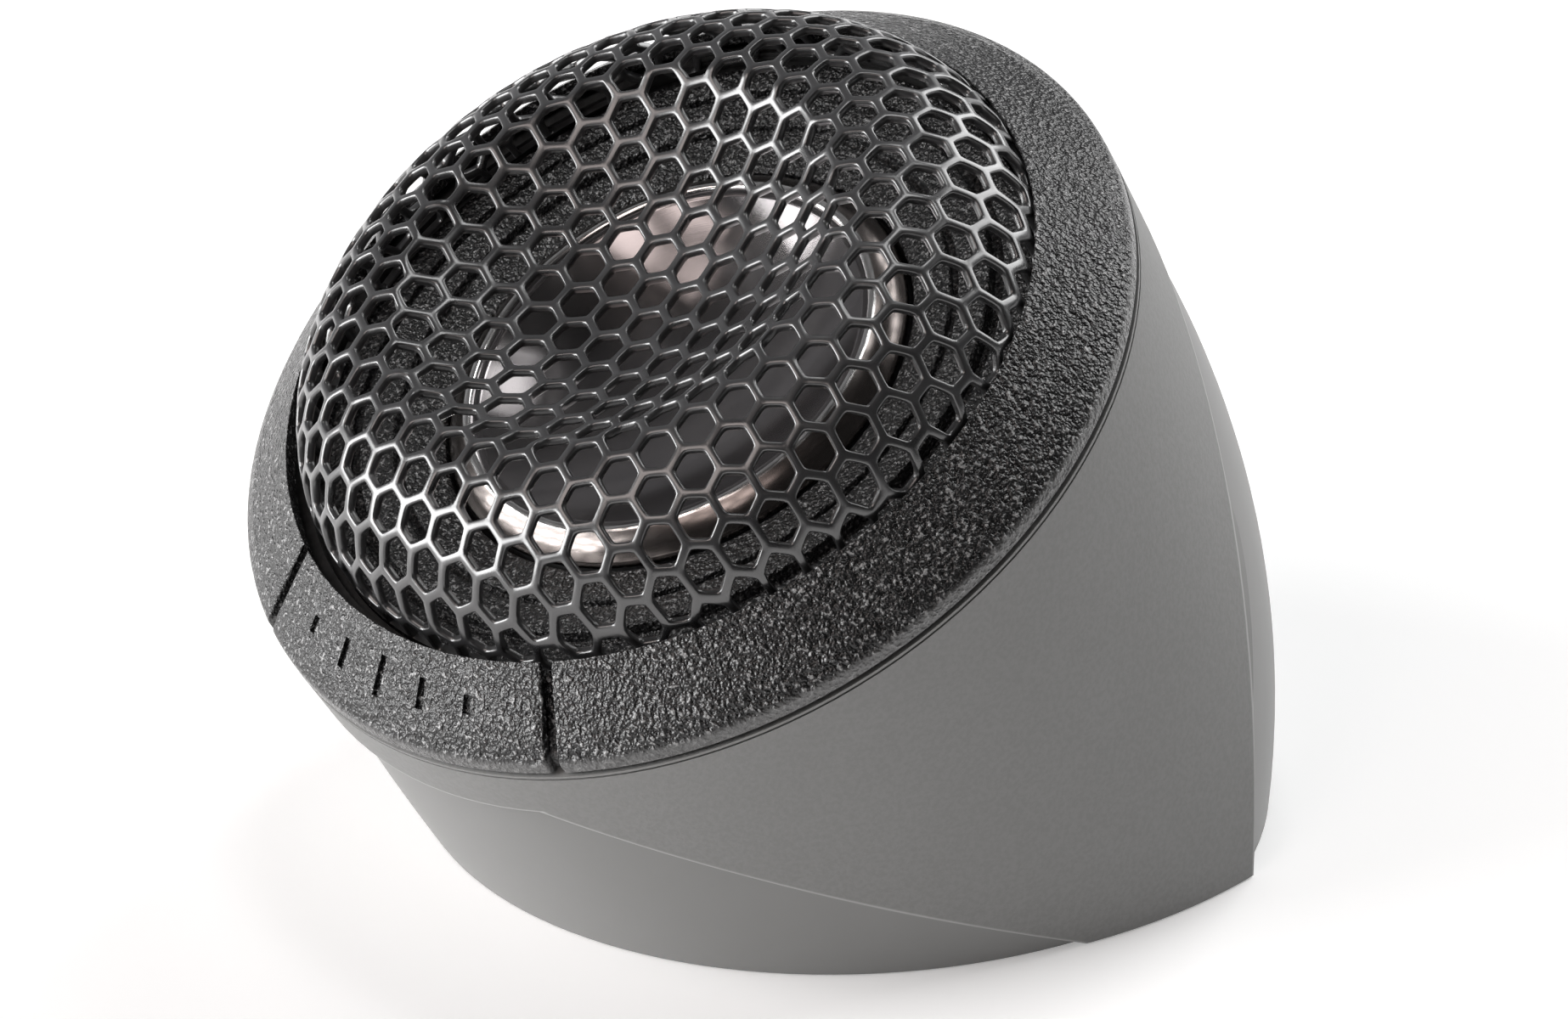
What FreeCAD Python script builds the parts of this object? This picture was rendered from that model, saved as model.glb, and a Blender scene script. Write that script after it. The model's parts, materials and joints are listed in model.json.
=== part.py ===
"""Car tweeter in a surface-mount pod, millimetres.

Row frame: +Z up, the dashboard is the plane z = 0, the tweeter looks forwards (-Y) and up.
Tweeter frame: +Z along the tweeter's axis, z = 0 where the bezel's back meets the pod, -Y to the
pod's front. Tweeter pieces are built there and put in place by tilted().
"""
import FreeCAD, Part
import math
import os
from FreeCAD import Vector

# ---- driving dimensions -------------------------------------------------------------------------
BEZEL_R = 26.0            # outer radius of the bezel ring
TILT = 30.0               # the tweeter's axis leans forwards from vertical
CENTRE_HEIGHT = 26.7      # bezel centre above the dashboard
CENTRE_FRONT = 9.0        # the bezel centre is this far in front of the base's origin
WALL = 2.2                # pod wall
BADGE_FROM = -20.5        # badge segment, degrees from the ring's front towards +X
BADGE_TO = 32.0

# bezel
BEZEL_SHOULDER = (25.15, 1.85)
BEZEL_INNER = (21.9, 4.5)
BEZEL_RECESS_R = 22.6     # step under the inner edge that holds the grille's flange
BEZEL_RECESS_Z = 3.3
GROOVE_HALF = 0.8         # half a groove, degrees
BADGE_T = 0.65
BAR_LENGTHS = (1.0, 1.7, 2.3, 1.7, 1.0)
BAR_WIDTH = 0.5
BAR_DEPTH = 0.25
BAR_STEP = 7.7            # degrees between bars
BAR_FIRST = -11.0
BAR_R = 23.85

# pod
PANEL_DRAFT = 0.0396      # radius lost per mm of depth on the grained panels
RIM_GAP = 0.15            # gap between bezel and pod
RIM_LINE = (-0.46, -0.32) # thin line moulded round the pod's rim, in tweeter-frame z
RIM_LINE_DEPTH = 0.25
BAND_DEPTH = 3.5          # grained band below the bezel at the front
FRONT_FACE_R = 25.3       # smooth front-lower face: crowned about the tweeter's axis
FRONT_FACE_CROWN = 140.0
FRONT_FACE_CROWN_Z = -12.0
PANEL_EDGE_SLOPE = 24.07  # lower front edge of the side panels, degrees
PANEL_EDGE_Y = -18.0      # a point on that edge
PANEL_EDGE_Z = 7.76
BACK_R = 27.7             # smooth back: barrel about a vertical axis
BACK_CROWN = 56.0
BACK_CROWN_Z = 4.5
BACK_AXIS_Y = -3.0
BACK_EDGE_Y = 11.15       # back edge of the side panels at z = 0
BACK_EDGE_LEAN = 4.0      # degrees
PAD_T = 0.8
PLATE_T = 2.0
BOSSES = ((0.0, -17.5, 5.5), (16.5, 11.0, 9.0), (-16.5, 11.0, 9.0))
BOSS_R = 2.8
BASE_SCREW_R = 1.2
DASH_HOLE_R = 1.9
DASH_HOLE_X = 11.0
INLET_Y = 9.0
INLET_R = 2.0

# bayonet
SKIRT_R = 22.05
LUG_R = 23.0
LUG_COUNT = 3
LUG_ANGLE = 20.0
NOTCH_ANGLE = 28.0
TWIST = 30.0              # turn from locked to free
FRICTION_R = 22.6         # rubber ring round the housing's neck
FRICTION_CORD = 0.5

# grille
MESH_T = 0.5
MESH_EDGE = (21.5, 4.6)
MESH_RIDGE = (12.85, 11.1)
MESH_MIDDLE_Z = 7.5
MESH_BULGE = 40.0         # half the turn of the outer arc, degrees
MESH_PITCH = 2.46
MESH_BAR = 0.5
MESH_TURN = 9.0           # direction of a row of holes in the tweeter frame, degrees
MESH_HOLE = (0.67, 0.53)  # centre of the middle hole in the flat sheet
MESH_STRETCH = 0.7        # 1 keeps lengths along the sheet, 0 keeps lengths seen from the front

# module housing
FLOOR_TOP = 0.3           # where the face plate's gasket lies
GASKET_T = 0.22
FACE_LOW = 0.54
BOARD = (10.0, 7.0, 1.0)  # terminal board
BLADE_X = 2.8

# dome and motor
DOME_T = 0.25
DOME_RIDGE = (11.9, 2.9)
DOME_SKIRT = (13.45, 1.65)
DOME_MIDDLE_Z = -0.3
COIL_R = 10.0
FORMER_T = 0.15
COIL_T = 0.3
POLE_R = 9.75
POLE_TOP = -1.9
POLE_T = 2.0
MAGNET_R = 9.2
MAGNET_T = 2.5
YOKE_INNER_R = 10.9
YOKE_R = 14.0
YOKE_FLANGE_R = 17.9
YOKE_FLANGE_T = 1.2
YOKE_FLOOR_T = 2.5
MOTOR_SCREW_CIRCLE = 16.1
REAR_DEPTH = -15.2
REAR_R = 15.8
REAR_WALL = 1.2

ORIGIN = Vector(0, 0, 0)
UP = Vector(0, 0, 1)
BIG = 200.0


# ---- helpers ------------------------------------------------------------------------------------
def outline_face(*steps):
    """Face in the XZ plane from (r, z) corners; a pair of corners is an arc's middle and end."""
    at = steps[0]
    edges = []
    for step in steps[1:] + steps[:1]:
        start = Vector(at[0], 0, at[1])
        if isinstance(step[0], tuple):
            middle, at = step
            via = Vector(middle[0], 0, middle[1])
            edges.append(Part.Arc(start, via, Vector(at[0], 0, at[1])).toShape())
        elif math.dist(at, step) > 1e-6:
            at = step
            edges.append(Part.makeLine(start, Vector(at[0], 0, at[1])))
    return Part.Face(Part.Wire(edges))


def turned(*steps):
    """Solid of revolution about Z."""
    return outline_face(*steps).revolve(ORIGIN, UP, 360)


def ring(inner, outer, low, high):
    return turned((inner, low), (outer, low), (outer, high), (inner, high))


def rod(radius, low, high, x=0.0, y=0.0):
    return Part.makeCylinder(radius, high - low, Vector(x, y, low))


def wedge(start, end, radius=40.0, low=-30.0, high=30.0):
    """Sector about Z between two angles measured from the front (-Y) towards +X."""
    sector = Part.makeCylinder(radius, high - low, Vector(0, 0, low), UP, end - start)
    sector.rotate(ORIGIN, UP, start - 90.0)
    return sector


def around(shape, angle):
    copy = shape.copy()
    copy.rotate(ORIGIN, UP, angle)
    return copy


def on_circle(shape, count, start=0.0):
    return [around(shape, start + 360.0 * i / count) for i in range(count)]


def tilted(shape):
    """Tweeter frame to row frame."""
    placed = shape.copy()
    placed.rotate(ORIGIN, Vector(1, 0, 0), TILT)
    placed.translate(Vector(0, -CENTRE_FRONT, CENTRE_HEIGHT))
    return placed


def arc_drop(radius, reach):
    """How far a circle of this radius falls away at this distance from its crown."""
    return radius - math.sqrt(radius ** 2 - reach ** 2)


# ---- pod ----------------------------------------------------------------------------------------
def panel_radius(z):
    return BEZEL_R + PANEL_DRAFT * z


def panel_cone(inset, low=-50.0, high=5.0):
    foot = panel_radius(low) - inset
    head = panel_radius(high) - inset
    return tilted(turned((0, low), (foot, low), (head, high), (0, high)))


def back_barrel(inset):
    """Crowned barrel about a vertical axis, from below the base to above the pod."""
    low = -6.0
    high = 44.0
    crown = BACK_R - inset
    foot = crown - arc_drop(BACK_CROWN, BACK_CROWN_Z - low)
    head = crown - arc_drop(BACK_CROWN, high - BACK_CROWN_Z)
    barrel = turned((0, low), (foot, low), ((crown, BACK_CROWN_Z), (head, high)), (0, high))
    barrel.translate(Vector(0, BACK_AXIS_Y, 0))
    return barrel


def behind_panels(inset=0.0):
    """Everything behind the side panels' leaning back edge."""
    space = Part.makeBox(BIG, BIG, BIG, Vector(-BIG / 2, 0, -BIG / 2))
    space.rotate(ORIGIN, Vector(1, 0, 0), -BACK_EDGE_LEAN)
    space.translate(Vector(0, BACK_EDGE_Y - inset, 0))
    return space


def below_panels():
    """Everything below the panels' sloping front edge and the front band."""
    below_edge = Part.makeBox(BIG, BIG, BIG, Vector(-BIG / 2, -BIG / 2, -BIG))
    below_edge.rotate(ORIGIN, Vector(1, 0, 0), -PANEL_EDGE_SLOPE)
    below_edge.translate(Vector(0, PANEL_EDGE_Y, PANEL_EDGE_Z))
    below_band = tilted(rod(60.0, -60.0, -BAND_DEPTH))
    return below_edge.common(below_band)


def pod_form(inset):
    """The pod's solid form, or its hollow when inset by the wall."""
    cone = panel_cone(inset)
    outside_barrel = behind_panels(inset).cut(back_barrel(inset))
    return cone.cut(outside_barrel)


def front_face_space():
    """What is cut away to leave the smooth crowned front-lower face."""
    low = -40.0
    high = -1.0
    foot = FRONT_FACE_R - arc_drop(FRONT_FACE_CROWN, FRONT_FACE_CROWN_Z - low)
    head = FRONT_FACE_R - arc_drop(FRONT_FACE_CROWN, high - FRONT_FACE_CROWN_Z)
    crown = (FRONT_FACE_R, FRONT_FACE_CROWN_Z)
    outside = turned((foot, low), (crown, (head, high)), (40.0, high), (40.0, low))
    return tilted(outside).common(below_panels())


def pod_shell():
    above_base = Part.makeBox(BIG, BIG, BIG, Vector(-BIG / 2, -BIG / 2, 0))
    form = pod_form(0.0).common(above_base).cut(front_face_space())
    form = form.cut(tilted(rod(60.0, -RIM_GAP, 20.0)))
    rim_line = ring(panel_radius(RIM_LINE[0]) - RIM_LINE_DEPTH, 40.0, *RIM_LINE)
    shell = form.cut(pod_form(WALL)).cut(tilted(rim_line))
    ledge = ring(SKIRT_R + 0.3, BEZEL_R - WALL + 0.3, -4.0, -2.6)
    for notch in on_circle(wedge(TWIST - NOTCH_ANGLE / 2, TWIST + NOTCH_ANGLE / 2), LUG_COUNT):
        ledge = ledge.cut(notch)
    stops = []
    for stop in on_circle(wedge(-LUG_ANGLE / 2 - 4.5, -LUG_ANGLE / 2 - 1.0), LUG_COUNT):
        stops.append(ring(SKIRT_R + 0.3, BEZEL_R - WALL + 0.3, -5.8, -3.9).common(stop))
    inside_form = pod_form(WALL - 0.4)
    shell = shell.fuse(tilted(ledge.fuse(stops)).common(inside_form))
    for x, y, top in BOSSES:
        low = PAD_T + PLATE_T
        rib = Part.makeBox(12.0, 1.4, top - low, Vector(0, -0.7, low))
        rib.rotate(ORIGIN, UP, math.degrees(math.atan2(y, x)))
        rib.translate(Vector(x, y, 0))
        boss = rod(BOSS_R, low, top, x, y).fuse(rib.common(inside_form))
        shell = shell.fuse(boss).cut(rod(BASE_SCREW_R, 0, top - 0.8, x, y))
    return shell.removeSplitter()


def base_outline(low, high, gap):
    """Slice of the pod's hollow between two heights, with a gap to the wall all round."""
    slab = Part.makeBox(BIG, BIG, high - low, Vector(-BIG / 2, -BIG / 2, low))
    return pod_form(WALL + gap).common(slab)


def base_plate():
    plate = base_outline(PAD_T, PAD_T + PLATE_T, 0.1)
    top = PAD_T + PLATE_T
    for x, y, _ in BOSSES:
        plate = plate.cut(rod(BASE_SCREW_R + 0.15, 0, 5, x, y))
        plate = plate.cut(rod(2.3, 0, PAD_T + 1.2, x, y))
    for side in (-1, 1):
        plate = plate.cut(rod(DASH_HOLE_R, 0, 5, side * DASH_HOLE_X, 0))
        rib = Part.makeBox(0.9, 16, 1.4, Vector(side * 5.5 - 0.45, -13.0, top))
        plate = plate.fuse(rib)
    return plate.cut(rod(3.2, 0, 5, 0, INLET_Y)).removeSplitter()


def base_pad():
    pad = base_outline(0, PAD_T, 0.4)
    for side in (-1, 1):
        pad = pad.cut(rod(3.4, -1, 2, side * DASH_HOLE_X, 0))
    return pad.cut(rod(5.0, -1, 2, 0, INLET_Y))


def base_screws():
    screws = []
    for x, y, top in BOSSES:
        head = rod(2.2, PAD_T + 0.1, PAD_T + 1.2, x, y)
        shank = rod(BASE_SCREW_R, PAD_T + 1.2, top - 1.2, x, y)
        slot_a = Part.makeBox(2.4, 0.5, 0.5, Vector(x - 1.2, y - 0.25, PAD_T + 0.1))
        slot_b = Part.makeBox(0.5, 2.4, 0.5, Vector(x - 0.25, y - 1.2, PAD_T + 0.1))
        screws.append(head.fuse(shank).cut(slot_a.fuse(slot_b)))
    return Part.makeCompound(screws)


def cable_grommet():
    low = PAD_T - 0.5
    top = PAD_T + PLATE_T
    grommet = turned((INLET_R, low), (4.3, low), (4.3, PAD_T), (3.2, PAD_T), (3.2, top),
                     (4.3, top), (4.3, top + 0.5), (3.5, top + 1.3), (INLET_R, top + 1.3))
    grommet.translate(Vector(0, INLET_Y, 0))
    return grommet


# ---- bezel and badge ----------------------------------------------------------------------------
def bezel_full():
    return turned((BEZEL_RECESS_R, 0), (25.8, 0), (BEZEL_R, 0.2), (BEZEL_R, 0.9),
                  ((25.78, 1.45), BEZEL_SHOULDER), (22.06, 4.38), ((22.0, 4.48), BEZEL_INNER),
                  (BEZEL_INNER[0], BEZEL_RECESS_Z), (BEZEL_RECESS_R, BEZEL_RECESS_Z))


def bezel_core():
    """The ring under the badge segment: the bezel less the badge's thickness."""
    slope = (BEZEL_INNER[1] - BEZEL_SHOULDER[1]) / (BEZEL_SHOULDER[0] - BEZEL_INNER[0])
    drop = BADGE_T * math.hypot(1, slope)
    outer = BEZEL_R - BADGE_T
    inner = BEZEL_INNER[0] - 0.1
    low_face = BEZEL_SHOULDER[1] - drop - (outer - BEZEL_SHOULDER[0]) * slope
    high_face = low_face + (outer - inner) * slope
    return turned((inner, -1), (outer, -1), (outer, low_face), (inner, high_face))


def bezel_ring():
    skin = bezel_full().cut(bezel_core())
    return bezel_full().cut(skin.common(wedge(BADGE_FROM - GROOVE_HALF, BADGE_TO + GROOVE_HALF)))


def badge_segment():
    """Badge with a generic row of five engraved level bars, low - high - low."""
    skin = bezel_full().cut(bezel_core())
    badge = skin.common(wedge(BADGE_FROM + GROOVE_HALF, BADGE_TO - GROOVE_HALF))
    slope = math.degrees(math.atan2(BEZEL_INNER[1] - BEZEL_SHOULDER[1], BEZEL_SHOULDER[0] - BEZEL_INNER[0]))
    surface = BEZEL_SHOULDER[1] + (BEZEL_SHOULDER[0] - BAR_R) * math.tan(math.radians(slope))
    for i, length in enumerate(BAR_LENGTHS):
        bar = Part.makeBox(BAR_WIDTH, length, 1.0, Vector(-BAR_WIDTH / 2, -length / 2, -BAR_DEPTH))
        bar.rotate(ORIGIN, Vector(1, 0, 0), slope)
        bar.translate(Vector(0, -BAR_R, surface))
        badge = badge.cut(around(bar, BAR_FIRST + BAR_STEP * i))
    return badge


# ---- grille -------------------------------------------------------------------------------------
def mesh_arcs():
    """Centres and radii of the two arcs of the sheet's outer face: the shoulder and the bowl."""
    (edge_r, edge_z), (ridge_r, ridge_z) = MESH_EDGE, MESH_RIDGE
    chord = math.hypot(edge_r - ridge_r, ridge_z - edge_z)
    slope = math.atan2(ridge_z - edge_z, edge_r - ridge_r)
    bulge = math.radians(MESH_BULGE)
    shoulder = chord / 2 / math.sin(bulge)
    back = shoulder * math.cos(bulge)
    shoulder_centre = ((edge_r + ridge_r) / 2 - back * math.sin(slope),
                       (edge_z + ridge_z) / 2 - back * math.cos(slope))
    depth = ridge_z - MESH_MIDDLE_Z
    bowl = (ridge_r ** 2 + depth ** 2) / (2 * depth)
    return shoulder_centre, shoulder, (0.0, MESH_MIDDLE_Z + bowl), bowl


def circles_meet(a, radius_a, b, radius_b, near):
    """The crossing of two circles that is nearest to a point."""
    gap = math.hypot(b[0] - a[0], b[1] - a[1])
    along = (radius_a ** 2 - radius_b ** 2 + gap ** 2) / (2 * gap)
    side = math.sqrt(radius_a ** 2 - along ** 2)
    ux, uz = (b[0] - a[0]) / gap, (b[1] - a[1]) / gap
    crossings = [(a[0] + along * ux + s * side * uz, a[1] + along * uz - s * side * ux) for s in (-1, 1)]
    return min(crossings, key=lambda p: math.dist(p, near))


def point_on(centre, radius, r, upper):
    lift = math.sqrt(radius ** 2 - (r - centre[0]) ** 2)
    return (r, centre[1] + lift) if upper else (r, centre[1] - lift)


def mesh_sheet():
    """The formed sheet before its holes, with a flat flange that the clamp holds."""
    shoulder_c, shoulder, bowl_c, bowl = mesh_arcs()
    inner_ridge = circles_meet(shoulder_c, shoulder - MESH_T, bowl_c, bowl + MESH_T, MESH_RIDGE)
    scale = (shoulder - MESH_T) / shoulder
    inner_edge = (shoulder_c[0] + (MESH_EDGE[0] - shoulder_c[0]) * scale,
                  shoulder_c[1] + (MESH_EDGE[1] - shoulder_c[1]) * scale)
    flange_low = BEZEL_RECESS_Z - MESH_T
    return turned(
        (0, MESH_MIDDLE_Z - MESH_T), (0, MESH_MIDDLE_Z),
        (point_on(bowl_c, bowl, MESH_RIDGE[0] / 2, False), MESH_RIDGE),
        (point_on(shoulder_c, shoulder, 18.2, True), MESH_EDGE),
        (MESH_EDGE[0], BEZEL_RECESS_Z), (22.45, BEZEL_RECESS_Z), (22.45, flange_low),
        (inner_edge[0], flange_low), inner_edge,
        (point_on(shoulder_c, shoulder - MESH_T, 17.6, True), inner_ridge),
        (point_on(bowl_c, bowl + MESH_T, MESH_RIDGE[0] / 2, False), (0, MESH_MIDDLE_Z - MESH_T)))


def formed_radii(step=0.05):
    """Pairs (flat radius, formed radius) of the pressed sheet, from its middle to its edge."""
    shoulder_c, shoulder, bowl_c, bowl = mesh_arcs()
    pairs = [(0.0, 0.0)]
    r = 0.0
    while r < MESH_EDGE[0] + 1.5:
        mid = r + step / 2
        if mid < MESH_RIDGE[0]:
            cosine = math.sqrt(1 - (mid / bowl) ** 2)
        else:
            cosine = math.sqrt(max(0.12, 1 - ((mid - shoulder_c[0]) / shoulder) ** 2))
        r += step
        pairs.append((pairs[-1][0] + step / cosine ** MESH_STRETCH, r))
    return pairs


def formed(x, y, pairs):
    """Where a point of the flat sheet goes when it is pressed."""
    flat = math.hypot(x, y)
    for (flat_a, r_a), (flat_b, r_b) in zip(pairs, pairs[1:]):
        if flat <= flat_b:
            r = r_a + (r_b - r_a) * (flat - flat_a) / (flat_b - flat_a)
            return (x * r / flat, y * r / flat) if flat > 0 else (0.0, 0.0)
    return None


def hexagon(cx, cy, turn, pairs):
    """Formed outline of one hole as a prism through the sheet, or None past the edge."""
    reach = (MESH_PITCH - MESH_BAR) / math.sqrt(3)
    corners = []
    for i in range(6):
        angle = turn + math.radians(30 + 60 * i)
        spot = formed(cx + reach * math.cos(angle), cy + reach * math.sin(angle), pairs)
        if spot is None:
            return None
        corners.append(Vector(spot[0], spot[1], BEZEL_RECESS_Z))
    return Part.Face(Part.makePolygon(corners + corners[:1])).extrude(Vector(0, 0, 10.0))


def grille():
    pairs = formed_radii()
    turn = math.radians(MESH_TURN)
    edge_flat = next(flat for flat, r in pairs if r >= MESH_EDGE[0])
    row_height = MESH_PITCH * math.sqrt(3) / 2
    reach = int(edge_flat / row_height) + 2
    prisms = []
    for row in range(-reach, reach + 1):
        for column in range(-reach, reach + 1):
            u = MESH_PITCH * (column + row / 2)
            v = row_height * row
            x = MESH_HOLE[0] + u * math.cos(turn) - v * math.sin(turn)
            y = MESH_HOLE[1] + u * math.sin(turn) + v * math.cos(turn)
            if math.hypot(x, y) < edge_flat + 0.2 * MESH_PITCH:
                prism = hexagon(x, y, turn, pairs)
                if prism is not None:
                    prisms.append(prism)
    mesh = mesh_sheet().cut(Part.makeCompound(prisms))
    return max(mesh.Solids, key=lambda solid: solid.Volume)


def grille_clamp():
    clamp = ring(21.4, 22.45, 2.05, BEZEL_RECESS_Z - MESH_T)
    for gap in on_circle(wedge(-2.0, 2.0), 3, 60.0):
        clamp = clamp.cut(gap)
    return Part.makeCompound(clamp.Solids) if len(clamp.Solids) > 1 else clamp


# ---- module -------------------------------------------------------------------------------------
def bayonet_housing():
    floor_low = POLE_TOP
    body = turned((12.3, floor_low), (21.0, floor_low), (21.0, -5.6), (SKIRT_R, -5.6), (SKIRT_R, -0.02),
                  (22.55, -0.02), (22.55, 2.0), (21.0, 2.0), (21.0, FLOOR_TOP), (12.3, FLOOR_TOP))
    lug = ring(SKIRT_R - 0.3, LUG_R, -5.6, -4.3)
    lug = lug.common(wedge(-LUG_ANGLE / 2, LUG_ANGLE / 2))
    body = body.fuse(on_circle(lug, LUG_COUNT))
    for angle in (0, 120, 240):
        counterbore = rod(1.6, FLOOR_TOP - 1.0, FLOOR_TOP + 1, 0, MOTOR_SCREW_CIRCLE)
        body = body.cut(around(counterbore, angle))
        body = body.cut(around(rod(0.9, -3, 1, 0, MOTOR_SCREW_CIRCLE), angle))
    for window in on_circle(wedge(-6.0, 6.0, low=-5.0, high=-3.0), 6, 30.0):
        body = body.cut(window)
    return body.removeSplitter()


def friction_ring():
    loop = Part.makeTorus(FRICTION_R, FRICTION_CORD)
    loop.translate(Vector(0, 0, -FRICTION_CORD - 0.05))
    return loop


def face_plate():
    return turned((13.75, FACE_LOW), (20.9, FACE_LOW), (20.9, 2.3), (19.2, 2.2), (19.2, 1.7), (18.5, 1.6),
                  (18.5, 2.5), (16.6, 2.2), (16.6, 1.65), (16.1, 1.6), (16.1, 2.1), (13.9, 1.6), (13.75, 1.5))


def face_gasket():
    gasket = ring(15.2, 20.6, FLOOR_TOP, FLOOR_TOP + GASKET_T)
    for angle in (0, 120, 240):
        gasket = gasket.cut(around(rod(1.7, 0, 1, 0, MOTOR_SCREW_CIRCLE), angle))
    return gasket


def yoke_cup():
    floor_top = POLE_TOP - POLE_T - MAGNET_T
    floor_low = floor_top - YOKE_FLOOR_T
    cup = turned((0, floor_low), (YOKE_R - 0.6, floor_low), (YOKE_R, floor_low + 0.6),
                 (YOKE_R, POLE_TOP - YOKE_FLANGE_T), (YOKE_FLANGE_R, POLE_TOP - YOKE_FLANGE_T),
                 (YOKE_FLANGE_R, POLE_TOP), (YOKE_INNER_R, POLE_TOP), (YOKE_INNER_R, floor_top),
                 (0, floor_top))
    for angle in (0, 120, 240):
        cup = cup.cut(around(rod(0.8, -8, 0, 0, MOTOR_SCREW_CIRCLE), angle))
    return cup


def magnet():
    top = POLE_TOP - POLE_T
    return turned((0, top - MAGNET_T), (MAGNET_R - 0.3, top - MAGNET_T), (MAGNET_R, top - MAGNET_T + 0.3),
                  (MAGNET_R, top - 0.3), (MAGNET_R - 0.3, top), (0, top))


def pole_plate():
    low = POLE_TOP - POLE_T
    return turned((0, low), (POLE_R, low), (POLE_R, POLE_TOP - 0.2), (POLE_R - 0.2, POLE_TOP), (0, POLE_TOP))


def damping_pad():
    return rod(7.0, POLE_TOP, POLE_TOP + 0.5)


def motor_screws():
    low = POLE_TOP - YOKE_FLANGE_T
    screw = rod(1.45, FLOOR_TOP - 1.0, FLOOR_TOP, 0, MOTOR_SCREW_CIRCLE)
    screw = screw.fuse(rod(0.8, low, FLOOR_TOP - 1.0, 0, MOTOR_SCREW_CIRCLE))
    slot_a = Part.makeBox(1.8, 0.4, 0.5, Vector(-0.9, MOTOR_SCREW_CIRCLE - 0.2, FLOOR_TOP - 0.4))
    slot_b = Part.makeBox(0.4, 1.8, 0.5, Vector(-0.2, MOTOR_SCREW_CIRCLE - 0.9, FLOOR_TOP - 0.4))
    screw = screw.cut(slot_a.fuse(slot_b))
    return Part.makeCompound(on_circle(screw, 3))


def rear_cover():
    top = POLE_TOP - YOKE_FLANGE_T
    inner = REAR_R - REAR_WALL
    cup = turned((0, REAR_DEPTH), (REAR_R - 1.5, REAR_DEPTH),
                 ((REAR_R - 0.44, REAR_DEPTH + 0.44), (REAR_R, REAR_DEPTH + 1.5)), (REAR_R, top),
                 (inner, top), (inner, REAR_DEPTH + REAR_WALL), (0, REAR_DEPTH + REAR_WALL))
    vent = rod(0.8, REAR_DEPTH - 1, REAR_DEPTH + 2, 0, -9.0)
    return cup.cut(vent)


def rear_foam():
    return rod(REAR_R - REAR_WALL - 0.2, REAR_DEPTH + REAR_WALL, REAR_DEPTH + REAR_WALL + 3.0)


def terminal_board():
    width, depth, thick = BOARD
    board = Part.makeBox(width, depth, thick, Vector(-width / 2, -depth / 2, REAR_DEPTH - thick))
    for side in (-1, 1):
        board = board.cut(Part.makeBox(0.5, 2.8, 2, Vector(side * BLADE_X - 0.25, -1.4, REAR_DEPTH - 1.5)))
    return board


def terminal(side, width):
    """A blade terminal standing in its slot in the board; the positive one is wider."""
    blade = Part.makeBox(0.5, width, 6.0, Vector(side * BLADE_X - 0.25, -width / 2, REAR_DEPTH - 6.0))
    nick = Part.makeCylinder(0.5, 2, Vector(side * BLADE_X - 1, 0, REAR_DEPTH - 4.2), Vector(1, 0, 0))
    return blade.cut(nick)


def coil_leads():
    """Two insulated leads down the rear cover's sides to the terminal board."""
    out = REAR_R + 0.45
    turn_z = REAR_DEPTH - 0.5
    top = POLE_TOP - YOKE_FLANGE_T - 0.1
    leads = []
    for side in (-1, 1):
        down = Part.makeCylinder(0.35, top - turn_z, Vector(side * out, 0, turn_z))
        reach = out - BOARD[0] / 2
        inward = Part.makeCylinder(0.35, reach, Vector(side * out, 0, turn_z), Vector(-side, 0, 0))
        leads.append(down.fuse(inward).fuse(Part.makeSphere(0.35, Vector(side * out, 0, turn_z))))
    return Part.makeCompound(leads)


# ---- moving dome --------------------------------------------------------------------------------
def bowl_arc(drop):
    """Middle point and end of the dome's bowl, lowered by drop, from its centre to the ridge."""
    ridge_r, ridge_z = DOME_RIDGE[0] - 0.35, DOME_RIDGE[1] - 0.12
    depth = ridge_z - DOME_MIDDLE_Z
    radius = (ridge_r ** 2 + depth ** 2) / (2 * depth)
    middle = (ridge_r / 2, DOME_MIDDLE_Z + arc_drop(radius, ridge_r / 2) - drop)
    return middle, (ridge_r, ridge_z - drop)


def dome():
    upper_mid, upper_end = bowl_arc(0)
    lower_mid, lower_end = bowl_arc(DOME_T)
    ridge_r, ridge_z = DOME_RIDGE
    skirt_r, skirt_z = DOME_SKIRT
    over = ((ridge_r, ridge_z), (ridge_r + 0.3, ridge_z - 0.14))
    under = ((ridge_r, ridge_z - DOME_T), lower_end)
    return turned((0, DOME_MIDDLE_Z - DOME_T), (0, DOME_MIDDLE_Z), (upper_mid, upper_end), over,
                  (skirt_r, skirt_z), (skirt_r, skirt_z - DOME_T), (ridge_r + 0.22, ridge_z - 0.14 - DOME_T),
                  under, (lower_mid, (0, DOME_MIDDLE_Z - DOME_T)))


def coil_former():
    tube = ring(COIL_R, COIL_R + FORMER_T, -3.6, 3.0)
    middle, end = bowl_arc(DOME_T + 0.01)
    low = DOME_MIDDLE_Z - DOME_T - 0.01
    above = turned((0, low), (middle, end), (end[0], 6.0), (0, 6.0))
    return tube.cut(above)


def voice_coil():
    return ring(COIL_R + FORMER_T, COIL_R + FORMER_T + COIL_T, -3.4, -2.0)


def surround():
    """Thin rolled ring from under the dome's skirt to the housing floor."""
    return turned((12.35, 1.1), (12.95, 1.1), (13.3, 0.62), (13.6, 0.34), (15.0, 0.34),
                  (15.0, 0.5), (13.68, 0.5), (13.42, 0.78), (13.1, 1.27), (12.35, 1.27))


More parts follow.
